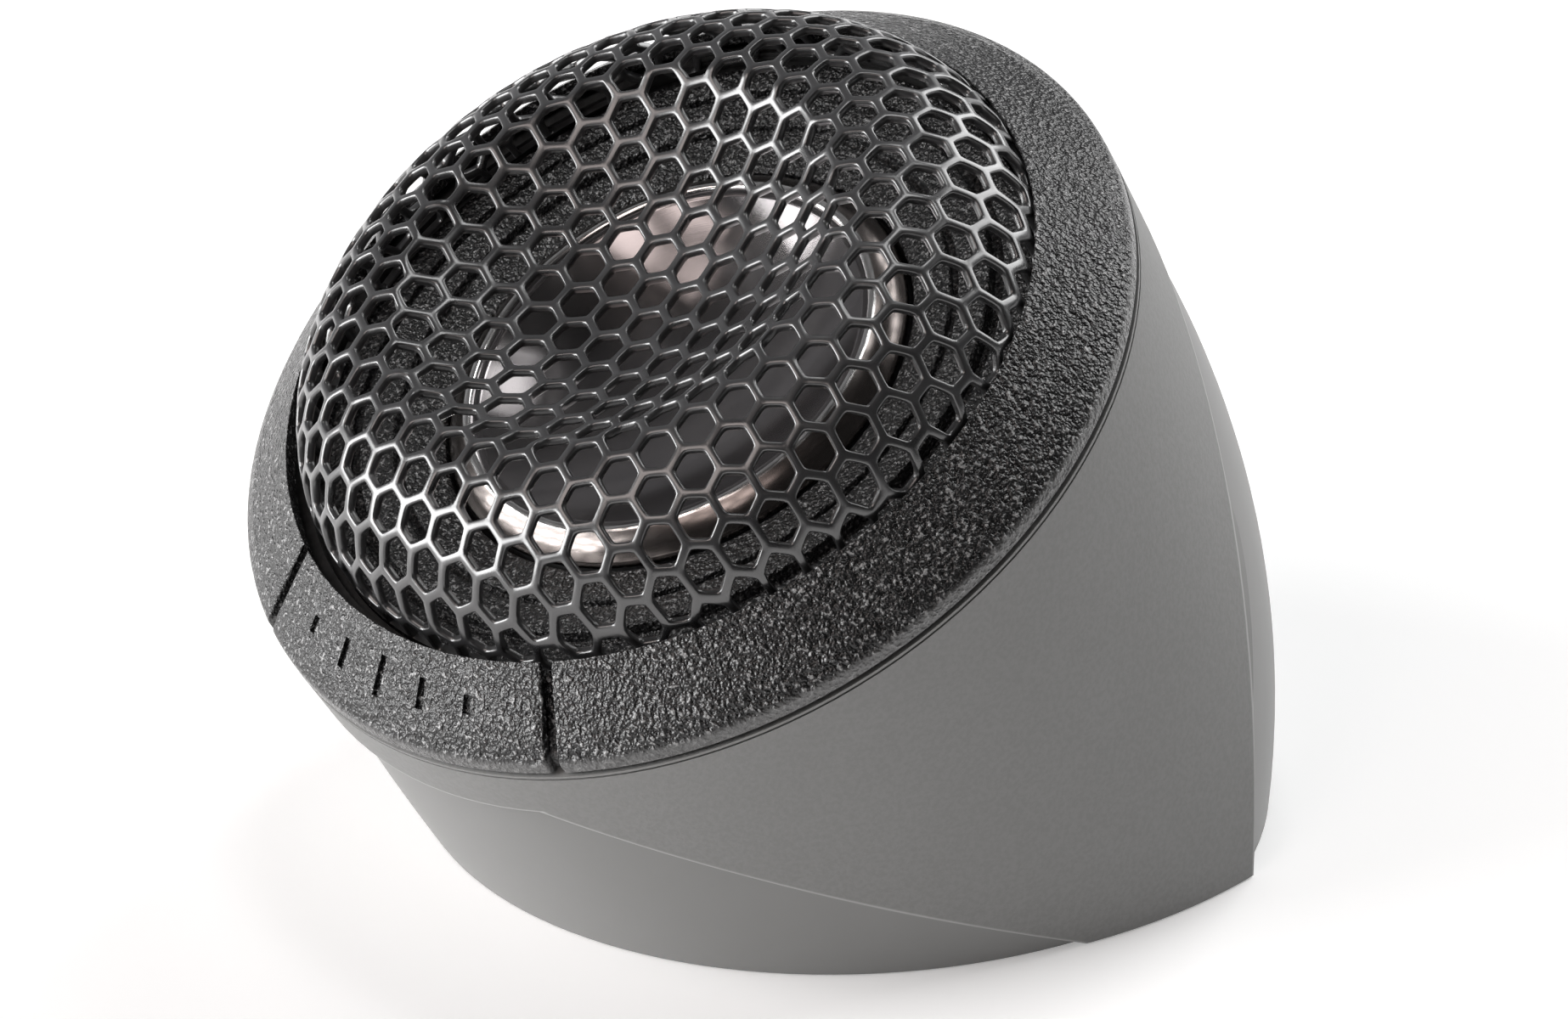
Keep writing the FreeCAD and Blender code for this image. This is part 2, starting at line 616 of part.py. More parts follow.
# ---- write every node ---------------------------------------------------------------------------
NODES = {
    "pod_shell": pod_shell(),
    "base_plate": base_plate(),
    "base_pad": base_pad(),
    "base_screws": base_screws(),
    "cable_grommet": cable_grommet(),
    "bezel_ring": tilted(bezel_ring()),
    "badge_segment": tilted(badge_segment()),
    "grille": tilted(grille()),
    "grille_clamp": tilted(grille_clamp()),
    "bayonet_housing": tilted(bayonet_housing()),
    "friction_ring": tilted(friction_ring()),
    "face_plate": tilted(face_plate()),
    "face_gasket": tilted(face_gasket()),
    "yoke_cup": tilted(yoke_cup()),
    "magnet": tilted(magnet()),
    "pole_plate": tilted(pole_plate()),
    "damping_pad": tilted(damping_pad()),
    "motor_screws": tilted(motor_screws()),
    "rear_cover": tilted(rear_cover()),
    "rear_foam": tilted(rear_foam()),
    "terminal_board": tilted(terminal_board()),
    "terminal_positive": tilted(terminal(1, 2.7)),
    "terminal_negative": tilted(terminal(-1, 2.0)),
    "coil_leads": tilted(coil_leads()),
    "dome": tilted(dome()),
    "coil_former": tilted(coil_former()),
    "voice_coil": tilted(voice_coil()),
    "surround": tilted(surround()),
}

os.makedirs("parts", exist_ok=True)
for name, shape in NODES.items():
    shape.exportStep("parts/" + name + ".step")
    box = shape.BoundBox
    print(name, "valid" if shape.isValid() else "NOT VALID", len(shape.Solids), "solids",
          round(shape.Volume, 1), "mm3", [round(v, 2) for v in (box.XMin, box.XMax, box.YMin, box.YMax,
                                                                 box.ZMin, box.ZMax)])
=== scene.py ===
"""Car tweeter in a tilted pod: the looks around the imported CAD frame, in metres."""

import json
import math

import bmesh
import bpy
import numpy as np
from mathutils import Matrix, Vector


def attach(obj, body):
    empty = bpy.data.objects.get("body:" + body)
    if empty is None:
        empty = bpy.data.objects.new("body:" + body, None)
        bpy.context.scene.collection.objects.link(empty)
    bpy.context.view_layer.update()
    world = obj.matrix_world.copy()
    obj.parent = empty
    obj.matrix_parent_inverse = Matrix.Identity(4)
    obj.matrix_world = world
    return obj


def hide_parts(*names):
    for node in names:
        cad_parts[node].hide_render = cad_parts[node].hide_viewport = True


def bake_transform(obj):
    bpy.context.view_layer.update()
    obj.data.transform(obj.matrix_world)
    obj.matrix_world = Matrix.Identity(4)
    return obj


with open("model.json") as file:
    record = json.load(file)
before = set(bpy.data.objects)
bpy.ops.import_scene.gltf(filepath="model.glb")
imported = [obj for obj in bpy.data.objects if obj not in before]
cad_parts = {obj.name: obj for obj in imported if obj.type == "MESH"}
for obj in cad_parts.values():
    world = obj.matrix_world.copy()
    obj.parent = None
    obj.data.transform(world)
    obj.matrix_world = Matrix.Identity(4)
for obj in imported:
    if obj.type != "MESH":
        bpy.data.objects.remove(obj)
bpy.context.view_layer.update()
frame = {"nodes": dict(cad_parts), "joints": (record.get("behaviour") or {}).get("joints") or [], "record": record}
nodes = frame["nodes"]
record = frame["record"]

# ---- the tweeter's own frame: its axis is +Z, and the bezel's back is z = 0 ----------
twist = next(j for j in frame["joints"] if j["name"] == "module_twist")
CENTRE = Vector(twist["pos_m"])
AXIS = Vector(twist["axis"]).normalized()
TILT = math.atan2(-AXIS.y, AXIS.z)
PLACE = Matrix.Translation(CENTRE) @ Matrix.Rotation(TILT, 4, "X")
MM = 0.001

# ---- sizes in millimetres, as (r, z) where there are two -----------------------------
# They are the CAD's, but for the mesh: its edge is 0.1 mm further in, and its straight wall, its
# crease, its bars' section and its shift off the bezel's centre are this file's own.
BEZEL_R = 26.0
BEZEL_SHOULDER = (25.15, 1.85)
BEZEL_INNER = (21.9, 4.5)
BEZEL_SLOPE = (BEZEL_INNER[1] - BEZEL_SHOULDER[1]) / (BEZEL_SHOULDER[0] - BEZEL_INNER[0])
BEZEL_RECESS = (22.6, 3.3)
# Corners as (r, z, rounding). The bezel and the badge share the outer side and the slope.
BEZEL_FACE = [(BEZEL_R, 0.2, 0.12), (BEZEL_R, 0.95, 0.5), (25.25, 1.77, 0.55), (22.02, 4.41, 0.12),
              (*BEZEL_INNER, 0.05)]
BEZEL = [(BEZEL_RECESS[0], 0.0, 0.0), (25.8, 0.0, 0.12), *BEZEL_FACE,
         (BEZEL_INNER[0], BEZEL_RECESS[1], 0.0), (*BEZEL_RECESS, 0.0)]
BADGE_FROM = -20.5
BADGE_TO = 32.0
GROOVE_HALF = 0.8
BADGE_T = 0.65
CARRIER_R = 22.0
CARRIER_OVERLAP = 1.0
BAR_LENGTHS = (1.0, 1.7, 2.3, 1.7, 1.0)
BAR_WIDTH = 0.5
BAR_DEPTH = 0.25
BAR_STEP = 7.7
BAR_FIRST = -11.0
BAR_R = 23.85

MESH_T = 0.5
MESH_EDGE = (21.4, 4.6)
MESH_RIDGE = (12.85, 11.1)
MESH_MIDDLE_Z = 7.5
MESH_BULGE = 40.0
MESH_PITCH = 2.46
MESH_BAR = 0.5
MESH_TURN = 9.0
MESH_HOLE = (0.67, 0.53)
MESH_STRETCH = 0.7
MESH_WALL = 2.0
MESH_SPARE = 2.0
MESH_CREASE = 0.24
MESH_SHIFT = (0.13, 0.38)
# Half of a bar's section: how far across from its middle line, and its height in half thicknesses.
MESH_SECTION = [(0.0, 1.0), (0.62, 0.98), (0.86, 0.84), (1.0, 0.5), (1.04, 0.0), (1.0, -0.6),
                (0.8, -0.92), (0.0, -1.0)]
HOLE_CORNER = 0.3
POINTS_PER_SIDE = 5

DOME_T = 0.25
DOME_RIDGE = (11.9, 2.9)
DOME_SKIRT = (13.45, 1.65)
DOME_MIDDLE_Z = -0.3
DOME_ROLL_R = 0.4
DOME_SKIRT_SAG = 0.12
# Radii where the painted highlight on the dome's ridge fades in, and where it gives way to the skirt's colour, in
# millimetres.
RIDGE_HIGHLIGHT_STARTS = (11.62, 11.72)
RIDGE_HIGHLIGHT_ENDS = (12.05, 12.15)
SURROUND_T = 0.17
SURROUND_LAND_Z = 1.1
SURROUND_FOOT_Z = 0.34
SURROUND_FOOT_TOP = 0.5
FACE_RING = [(13.75, 0.54, 0.0), (20.9, 0.54, 0.0), (20.9, 2.3, 0.1), (19.2, 2.2, 0.12),
             (19.2, 1.7, 0.1), (18.5, 1.6, 0.1), (18.5, 2.5, 0.15), (16.6, 2.2, 0.12),
             (16.6, 1.65, 0.1), (16.1, 1.6, 0.1), (16.1, 2.1, 0.12), (13.9, 1.6, 0.12),
             (13.75, 1.5, 0.05)]

# Edges on the pod: how far down its axis the band reaches, the slope and foot of the panels'
# lower edge (z against y), and the lean and place of their rear edge (y against z).
BAND_EDGE = -3.5
PANEL_EDGE = (-0.4467, -0.275)
REAR_EDGE = (0.07, 11.12)
# How far either side of those edges the painted highlight, a paler line, reaches, in millimetres.
EDGE_HIGHLIGHT_WIDTH = 0.14
# Along the axis from the bezel's back, where the painted sheen on its outer side fades out, in millimetres.
PAINTED_SHEEN_FADE = (0.85, 1.15)


# ---- mesh helpers --------------------------------------------------------------------
def rounded(corners, steps=4):
    """Closed (r, z) outline in which each corner (r, z, radius) is an arc."""
    points = []
    for i, (r, z, radius) in enumerate(corners):
        here = np.array((r, z))
        if radius <= 0:
            points.append(here)
            continue
        back = np.array(corners[i - 1][:2]) - here
        ahead = np.array(corners[(i + 1) % len(corners)][:2]) - here
        a = back / np.linalg.norm(back)
        b = ahead / np.linalg.norm(ahead)
        half = math.acos(np.clip(a @ b, -1, 1)) / 2
        room = (0.48 * np.linalg.norm(back), 0.48 * np.linalg.norm(ahead))
        reach = min(radius / math.tan(half), *room)
        size = reach * math.tan(half)
        middle = here + (a + b) / np.linalg.norm(a + b) * size / math.sin(half)
        u = (here + a * reach - middle) / size
        v = (here + b * reach - middle) / size
        turn = math.acos(np.clip(u @ v, -1, 1))
        for k in range(steps + 1):
            t = k / steps
            side = (math.sin((1 - t) * turn) * u + math.sin(t * turn) * v) / math.sin(turn)
            points.append(middle + side * size)
    return np.array(points)


def inset(points, amount):
    """The closed outline moved inwards by this amount."""
    before = points - np.roll(points, 1, axis=0)
    after = np.roll(points, -1, axis=0) - points
    r, z = points[:, 0], points[:, 1]
    area = np.sum(r * np.roll(z, -1) - np.roll(r, -1) * z)
    tangent = before / np.linalg.norm(before, axis=1)[:, None]
    tangent = tangent + after / np.linalg.norm(after, axis=1)[:, None]
    tangent /= np.maximum(np.linalg.norm(tangent, axis=1)[:, None], 1e-9)
    inwards = np.stack((-tangent[:, 1], tangent[:, 0]), axis=1) * np.sign(area)
    return points + inwards * amount


def finish_mesh(name, vertices, faces, angle=35.0):
    """Mesh object in the tweeter's frame from points in millimetres, smooth but for its edges."""
    mesh = bpy.data.meshes.new(name)
    mesh.from_pydata((np.asarray(vertices) * MM).tolist(), [], faces)
    bm = bmesh.new()
    bm.from_mesh(mesh)
    bmesh.ops.remove_doubles(bm, verts=bm.verts, dist=2e-7)
    bmesh.ops.recalc_face_normals(bm, faces=bm.faces)
    bm.to_mesh(mesh)
    bm.free()
    mesh.polygons.foreach_set("use_smooth", [True] * len(mesh.polygons))
    mesh.set_sharp_from_angle(angle=math.radians(angle))
    mesh.transform(PLACE)
    piece = bpy.data.objects.new(name, mesh)
    bpy.context.scene.collection.objects.link(piece)
    return piece


def sweep(outlines, angles, closed):
    """Vertices and faces of outlines set round the axis, at angles from the front towards +X."""
    count = len(outlines[0])
    vertices = []
    for points, angle in zip(outlines, angles):
        a = math.radians(angle)
        vertices += [(r * math.sin(a), -r * math.cos(a), z) for r, z in points]
    faces = []
    rings = len(outlines)
    for i in range(rings if closed else rings - 1):
        j = (i + 1) % rings
        for k in range(count):
            m = (k + 1) % count
            faces.append((i * count + k, i * count + m, j * count + m, j * count + k))
    if not closed:
        faces.append(tuple(range(count)))
        faces.append(tuple((rings - 1) * count + k for k in range(count)))
    return vertices, faces


def full_turn(points, segments):
    """The outline turned all the way round the axis."""
    return sweep([points] * segments, np.arange(segments) * 360.0 / segments, True)


def part_turn(points, start, end, edge=0.12, step=1.0):
    """Part of a turn, with the edges of its two ends rounded."""
    radius = points[:, 0].mean()
    outlines = []
    angles = []
    for k in range(4):
        t = math.radians(30.0 * k)
        outlines.append(inset(points, edge * (1 - math.sin(t))))
        angles.append(math.degrees(edge * (1 - math.cos(t)) / radius))
    near = [start + a for a in angles]
    far = [end - a for a in reversed(angles)]
    between = np.linspace(near[-1], far[0], int((end - start) / step) + 2)[1:-1]
    all_outlines = outlines + [points] * len(between) + outlines[::-1]
    return sweep(all_outlines, near + list(between) + far, False)


def joined(*shapes):
    """One list of vertices and faces from several."""
    vertices = []
    faces = []
    for more, more_faces in shapes:
        offset = len(vertices)
        vertices += list(more)
        faces += [tuple(offset + i for i in face) for face in more_faces]
    return vertices, faces


def cut(piece, vertices, faces):
    """Takes a closed shape, given in the tweeter's frame, away from the piece."""
    tool = finish_mesh(piece.name + "_tool", vertices, faces)
    modifier = piece.modifiers.new("cut", "BOOLEAN")
    modifier.object = tool
    modifier.solver = "EXACT"
    bpy.context.view_layer.update()
    shown = piece.evaluated_get(bpy.context.evaluated_depsgraph_get())
    mesh = bpy.data.meshes.new_from_object(shown)
    piece.modifiers.clear()
    piece.data = mesh
    mesh.set_sharp_from_angle(angle=math.radians(35))
    bpy.data.objects.remove(tool)


def block(corner, size, move):
    """Closed box between corner and corner + size, each corner of it moved by a function."""
    vertices = []
    for x in (0, 1):
        for y in (0, 1):
            for z in (0, 1):
                spot = [low + k * long for low, k, long in zip(corner, (x, y, z), size)]
                vertices.append(move(*spot))
    faces = [(0, 1, 3, 2), (4, 6, 7, 5), (0, 4, 5, 1), (2, 3, 7, 6), (0, 2, 6, 4), (1, 5, 7, 3)]
    return vertices, faces


# ---- bezel and badge -----------------------------------------------------------------
def badge_bed():
    """The sunk step under the badge: its outer radius, its height there and its height inside."""
    drop = BADGE_T * math.hypot(1, BEZEL_SLOPE)
    outer = BEZEL_R - BADGE_T
    low = BEZEL_SHOULDER[1] - drop - (outer - BEZEL_SHOULDER[0]) * BEZEL_SLOPE
    return outer, low, low + (outer - CARRIER_R) * BEZEL_SLOPE


def bezel_piece():
    """The ring, cut back under the badge to what carries it."""
    outer, low, high = badge_bed()
    core = np.array([(BEZEL_RECESS[0], 0.0), (outer, 0.0), (outer, low), (CARRIER_R, high),
                     (CARRIER_R, BEZEL_RECESS[1]), BEZEL_RECESS])
    start = BADGE_FROM - GROOVE_HALF
    end = BADGE_TO + GROOVE_HALF
    main = part_turn(rounded(BEZEL), end, start + 360.0)
    carrier = part_turn(core, start - CARRIER_OVERLAP, end + CARRIER_OVERLAP, edge=0.02)
    return finish_mesh("bezel", *joined(main, carrier))


def bar_cutter(angle, length):
    """Box that engraves one level bar, at an angle from the front towards +X."""
    angle = math.radians(angle)
    lean = math.atan(BEZEL_SLOPE)
    surface = BEZEL_SHOULDER[1] + (BEZEL_SHOULDER[0] - BAR_R) * BEZEL_SLOPE

    def move(x, y, z):
        r = BAR_R - y * math.cos(lean) + z * math.sin(lean)
        up = surface + y * math.sin(lean) + z * math.cos(lean)
        across = r * math.sin(angle) + x * math.cos(angle)
        return (across, -r * math.cos(angle) + x * math.sin(angle), up)

    return block((-BAR_WIDTH / 2, -length / 2, -BAR_DEPTH), (BAR_WIDTH, length, 1.0), move)


def badge_piece():
    """The badge segment with a generic row of five engraved level bars."""
    outer, low, high = badge_bed()
    corners = [(outer, 0.0, 0.0), (25.8, 0.0, 0.1), *BEZEL_FACE, (BEZEL_INNER[0], 4.0, 0.0),
               (CARRIER_R, high, 0.0), (outer, low, 0.0)]
    segment = part_turn(rounded(corners), BADGE_FROM + GROOVE_HALF, BADGE_TO - GROOVE_HALF)
    piece = finish_mesh("badge", *segment)
    bars = [bar_cutter(BAR_FIRST + BAR_STEP * i, length) for i, length in enumerate(BAR_LENGTHS)]
    cut(piece, *joined(*bars))
    return piece


# ---- grille --------------------------------------------------------------------------
def sheet_line(step=0.02):
    """The formed sheet's middle line: flat radius, and the radius, height and normal there."""
    (edge_r, edge_z), (ridge_r, ridge_z) = MESH_EDGE, MESH_RIDGE
    slope = math.atan2(ridge_z - edge_z, edge_r - ridge_r)
    bulge = math.radians(MESH_BULGE)
    shoulder = math.hypot(edge_r - ridge_r, ridge_z - edge_z) / 2 / math.sin(bulge)
    back = shoulder * math.cos(bulge)
    centre_r = (edge_r + ridge_r) / 2 - back * math.sin(slope)
    centre_z = (edge_z + ridge_z) / 2 - back * math.cos(slope)
    depth = ridge_z - MESH_MIDDLE_Z
    bowl = (ridge_r ** 2 + depth ** 2) / (2 * depth)
    r = np.arange(0.0, edge_r, step)
    middle = r + step / 2
    inner_cosine = np.sqrt(1 - (np.minimum(middle, ridge_r) / bowl) ** 2)
    outer_cosine = np.sqrt(np.maximum(0.12, 1 - ((middle - centre_r) / shoulder) ** 2))
    cosine = np.where(middle < ridge_r, inner_cosine, outer_cosine)
    flat = np.concatenate(([0.0], np.cumsum(step / cosine ** MESH_STRETCH)))[:-1]
    inner_z = MESH_MIDDLE_Z + bowl - np.sqrt(bowl ** 2 - np.minimum(r, ridge_r) ** 2)
    outer_z = centre_z + np.sqrt(np.maximum(shoulder ** 2 - (r - centre_r) ** 2, 0.0))
    z = np.where(r < ridge_r, inner_z, outer_z)
    wall = np.arange(step, MESH_WALL + MESH_SPARE, step)
    flat = np.concatenate((flat, flat[-1] + wall))
    r = np.concatenate((r, np.full(len(wall), r[-1])))
    z = np.concatenate((z, z[-1] - wall))
    even = np.arange(0.0, flat[-1], step)
    r = np.interp(even, flat, r)
    z = np.interp(even, flat, z)
    width = int(MESH_CREASE / step)
    weights = np.ones(width) / width
    mirrored_r = np.concatenate((-r[width:0:-1], r, np.full(width, r[-1])))
    mirrored_z = np.concatenate((z[width:0:-1], z, z[-1] - step * np.arange(1, width + 1)))
    r = np.convolve(mirrored_r, weights, "same")[width:-width]
    z = np.convolve(mirrored_z, weights, "same")[width:-width]
    normal = np.stack((-np.gradient(z), np.gradient(r)), axis=1)
    normal /= np.linalg.norm(normal, axis=1)[:, None]
    r_mid = r - normal[:, 0] * MESH_T / 2
    z_mid = z - normal[:, 1] * MESH_T / 2
    return even, r_mid, z_mid, normal


def hexagon():
    """Outlines of one cell and of its hole, with the hole's corners cut back a little."""
    apothem = MESH_PITCH / 2
    hole = apothem - MESH_BAR / 2
    reach = hole / math.sqrt(3)
    boundary = []
    opening = []
    for side in range(6):
        facing = math.radians(MESH_TURN) + math.radians(60 * side)
        out = np.array((math.cos(facing), math.sin(facing)))
        along = np.array((-out[1], out[0]))
        for k in range(POINTS_PER_SIDE):
            t = 2.0 * k / POINTS_PER_SIDE - 1.0
            boundary.append(out * apothem + along * apothem / math.sqrt(3) * t)
            place = reach * t
            pull = max(0.0, abs(place) - (reach - HOLE_CORNER)) / HOLE_CORNER
            inwards = HOLE_CORNER * 0.16 * pull ** 2
            opening.append(out * (hole - inwards) + along * place * (1 - 0.02 * pull))
    return np.array(boundary), np.array(opening)


def grille_piece():
    """Pressed sheet of hexagonal holes whose bars have rounded edges."""
    flat, line_r, line_z, normal = sheet_line()
    boundary, opening = hexagon()
    count = len(boundary)
    edge_flat = flat[-1] - MESH_SPARE
    foot_z = MESH_EDGE[1] - MESH_WALL
    turn = math.radians(MESH_TURN)
    row_height = MESH_PITCH * math.sqrt(3) / 2
    reach = int(edge_flat / row_height) + 2
    vertices = []
    faces = []
    for row in range(-reach, reach + 1):
        for column in range(-reach, reach + 1):
            u = MESH_PITCH * (column + row / 2)
            v = row_height * row
            middle = np.array((MESH_HOLE[0] + u * math.cos(turn) - v * math.sin(turn),
                               MESH_HOLE[1] + u * math.sin(turn) + v * math.cos(turn)))
            if np.linalg.norm(middle) > edge_flat + 0.3 * MESH_PITCH:
                continue
            offset = len(vertices)
            for share, height in MESH_SECTION:
                spots = middle + boundary + (opening - boundary) * share
                distance = np.linalg.norm(spots, axis=1)
                r = np.interp(distance, flat, line_r)
                z = np.interp(distance, flat, line_z)
                nr = np.interp(distance, flat, normal[:, 0])
                nz = np.interp(distance, flat, normal[:, 1])
                r = r + nr * height * MESH_T / 2
                z = np.maximum(z + nz * height * MESH_T / 2, foot_z)
                x = MESH_SHIFT[0] + spots[:, 0] / distance * r
                y = MESH_SHIFT[1] + spots[:, 1] / distance * r
                vertices += list(np.stack((x, y, z), axis=1))
            for level in range(len(MESH_SECTION) - 1):
                for k in range(count):
                    m = (k + 1) % count
                    a = offset + level * count
                    faces.append((a + k, a + m, a + count + m, a + count + k))
    return finish_mesh("grille_mesh", vertices, faces, angle=60.0)


# ---- dome, face ring and surround ----------------------------------------------------
def dome_piece():
    """Inverted bowl with a polished rolled ridge and a skirt, one thin sheet; the bright line on its
    ridge is a painted highlight in the dome's material.
    """
    ridge_r, ridge_z = DOME_RIDGE[0] - 0.35, DOME_RIDGE[1] - 0.12
    depth = ridge_z - DOME_MIDDLE_Z
    bowl = (ridge_r ** 2 + depth ** 2) / (2 * depth)
    top = [(r, DOME_MIDDLE_Z + bowl - math.sqrt(bowl ** 2 - r ** 2))
           for r in np.linspace(0.0, ridge_r - 0.1, 40)]
    for angle in np.radians(np.linspace(60.0, -10.0, 9)):
        top.append((DOME_RIDGE[0] - DOME_ROLL_R * math.sin(angle) + 0.02,
                    ridge_z - 0.28 + DOME_ROLL_R * math.cos(angle)))
    start = np.array(top[-1])
    end = np.array(DOME_SKIRT)
    for t in np.linspace(0.1, 1.0, 10):
        sag = DOME_SKIRT_SAG * math.sin(math.pi * t)
        top.append(tuple(start + (end - start) * t + np.array((sag * 0.6, sag))))
    top = np.array(top)
    under = top[::-1] - np.array((0.0, DOME_T))
    under[:, 0] = np.maximum(under[:, 0], 0.0)
    outline = np.concatenate((top, under))
    outline[:, 0] = np.maximum(outline[:, 0], 0.001)
    return finish_mesh("dome_shell", *full_turn(outline, 240), angle=50.0)


def curve_between(start, end, steps):
    """Points of an S-shaped curve between two (r, z) points, without its ends."""
    points = []
    for k in range(1, steps):
        t = k / steps
        ease = t * t * (3 - 2 * t)
        points.append((start[0] + (end[0] - start[0]) * t, start[1] + (end[1] - start[1]) * ease))
    return points


def face_piece():
    """The stepped ring round the dome."""
    return finish_mesh("face_ring", *full_turn(rounded(FACE_RING, 3), 300))


def surround_piece():
    """Thin rolled ring: its foot lies on the housing, and its land is under the dome's skirt."""
    land_top = SURROUND_LAND_Z + SURROUND_T
    land = [(13.1, land_top), (12.35, land_top), (12.35, SURROUND_LAND_Z), (12.95, SURROUND_LAND_Z)]
    foot = [(13.6, SURROUND_FOOT_Z), (15.0, SURROUND_FOOT_Z), (15.0, SURROUND_FOOT_TOP),
            (13.68, SURROUND_FOOT_TOP)]
    outline = land + curve_between(land[-1], foot[0], 8) + foot
    outline += curve_between(foot[-1], land[0], 8)
    return finish_mesh("surround_roll", *full_turn(np.array(outline), 240), angle=60.0)


# ---- materials -----------------------------------------------------------------------
def grey(value):
    return (value, value, value)


class Graph:
    """A material's nodes, with its shader and helpers."""

    def __init__(self, name):
        self.material = bpy.data.materials.new(name)
        self.material.use_nodes = True
        self.tree = self.material.node_tree
        self.shader = self.tree.nodes["Principled BSDF"]
        self.place = self.add("ShaderNodeTexCoord").outputs["Object"]

    def add(self, kind, **settings):
        node = self.tree.nodes.new(kind)
        for key, value in settings.items():
            setattr(node, key, value)
        return node

    def link(self, source, target):
        self.tree.links.new(source, target)

    def noise(self, size_mm, detail=2.0, rough=0.5, place=None):
        node = self.add("ShaderNodeTexNoise")
        node.inputs["Scale"].default_value = 1.0 / (size_mm * MM)
        node.inputs["Detail"].default_value = detail
        node.inputs["Roughness"].default_value = rough
        self.link(place or self.place, node.inputs["Vector"])
        return node.outputs["Fac"]

    def math(self, kind, a, b=0.0):
        node = self.add("ShaderNodeMath", operation=kind)
        for socket, value in zip(node.inputs, (a, b)):
            if isinstance(value, (int, float)):
                socket.default_value = value
            else:
                self.link(value, socket)
        return node.outputs[0]

    def spread(self, value, low, high, to_low=0.0, to_high=1.0):
        node = self.add("ShaderNodeMapRange")
        self.link(value, node.inputs["Value"])
        ends = {"From Min": low, "From Max": high, "To Min": to_low, "To Max": to_high}
        for name, number in ends.items():
            node.inputs[name].default_value = number
        return node.outputs["Result"]

    def blend(self, share, a, b):
        """Colour between a and b."""
        node = self.add("ShaderNodeMix", data_type="RGBA")
        self.link(share, node.inputs["Factor"])
        for socket, value in ((node.inputs[6], a), (node.inputs[7], b)):
            if isinstance(value, tuple):
                socket.default_value = (*value, 1.0)
            else:
                self.link(value, socket)
        return node.outputs[2]

    def bump(self, height, depth_mm):
        node = self.add("ShaderNodeBump")
        node.inputs["Distance"].default_value = depth_mm * MM
        node.inputs["Strength"].default_value = 1.0
        self.link(height, node.inputs["Height"])
        self.link(node.outputs["Normal"], self.shader.inputs["Normal"])

    def along_axis(self):
        """Distance along the tweeter's axis from the bezel's back, in metres."""
        node = self.add("ShaderNodeVectorMath", operation="SUBTRACT")
        self.link(self.place, node.inputs[0])
        node.inputs[1].default_value = CENTRE
        dot = self.add("ShaderNodeVectorMath", operation="DOT_PRODUCT")
        self.link(node.outputs[0], dot.inputs[0])
        dot.inputs[1].default_value = AXIS
        return dot.outputs["Value"]

    def near(self, distance, reach_mm):
        """1 where the distance is 0, fading to 0 at reach_mm either side."""
        return self.spread(self.math("ABSOLUTE", distance), 0.0, reach_mm * MM, 1.0, 0.0)

    def colour(self, value):
        self.link(value, self.shader.inputs["Base Color"])

    def rough(self, value):
        self.link(value, self.shader.inputs["Roughness"])

    def set(self, **values):
        for key, value in values.items():
            self.shader.inputs[key.replace("_", " ")].default_value = value


def grained(name, dark, light, rough, grain_mm, depth_mm, glint_paint=0.0, painted_wall_sheen=False):
    """Grained plastic, rubber or foam; the glint amount paints the grain's crests paler, as painted
    glints, and makes them glossier, and the wall flag paints a paler sheen on the bezel's outer side."""
    g = Graph(name)
    fine = g.noise(grain_mm, 1.5, 0.55)
    coarse = g.noise(grain_mm * 2.6, 1.0)
    height = g.math("ADD", g.math("MULTIPLY", fine, 0.75), g.math("MULTIPLY", coarse, 0.35))
    skin = g.blend(g.spread(fine, 0.35, 0.7), dark, light)
    satin = g.spread(coarse, 0.3, 0.7, rough - 0.05, rough + 0.07)
    # Painted glints: the grain's crests are coloured paler, and they are also made glossier.
    if glint_paint:
        crest = g.spread(fine, 0.61, 0.67)
        pale = tuple(min(1.0, channel + glint_paint) for channel in light)
        skin = g.blend(crest, skin, pale)
        satin = g.math("SUBTRACT", satin, g.math("MULTIPLY", crest, 0.12))
    # Painted sheen: the bezel's outer side is coloured paler near its back, where light catches it.
    if painted_wall_sheen:
        wall = g.spread(g.along_axis(), PAINTED_SHEEN_FADE[0] * MM, PAINTED_SHEEN_FADE[1] * MM, 1.0, 0.0)
        share = g.math("MULTIPLY", wall, 0.8)
        skin = g.blend(share, skin, g.blend(fine, grey(0.04), grey(0.22)))
    g.colour(skin)
    g.rough(satin)
    g.bump(height, depth_mm)
    return g.material


def plain(name, dark, light, rough, size_mm=0.6, depth_mm=0.004, metal=0.0):
    """Smooth material with slight variation of colour and roughness."""
    g = Graph(name)
    wide = g.noise(size_mm * 8, 3.0)
    fine = g.noise(size_mm, 2.0)
    g.colour(g.blend(g.spread(wide, 0.3, 0.7), dark, light))
    g.rough(g.spread(wide, 0.3, 0.7, rough - 0.04, rough + 0.05))
    g.bump(fine, depth_mm)
    g.set(Metallic=metal)
    return g.material


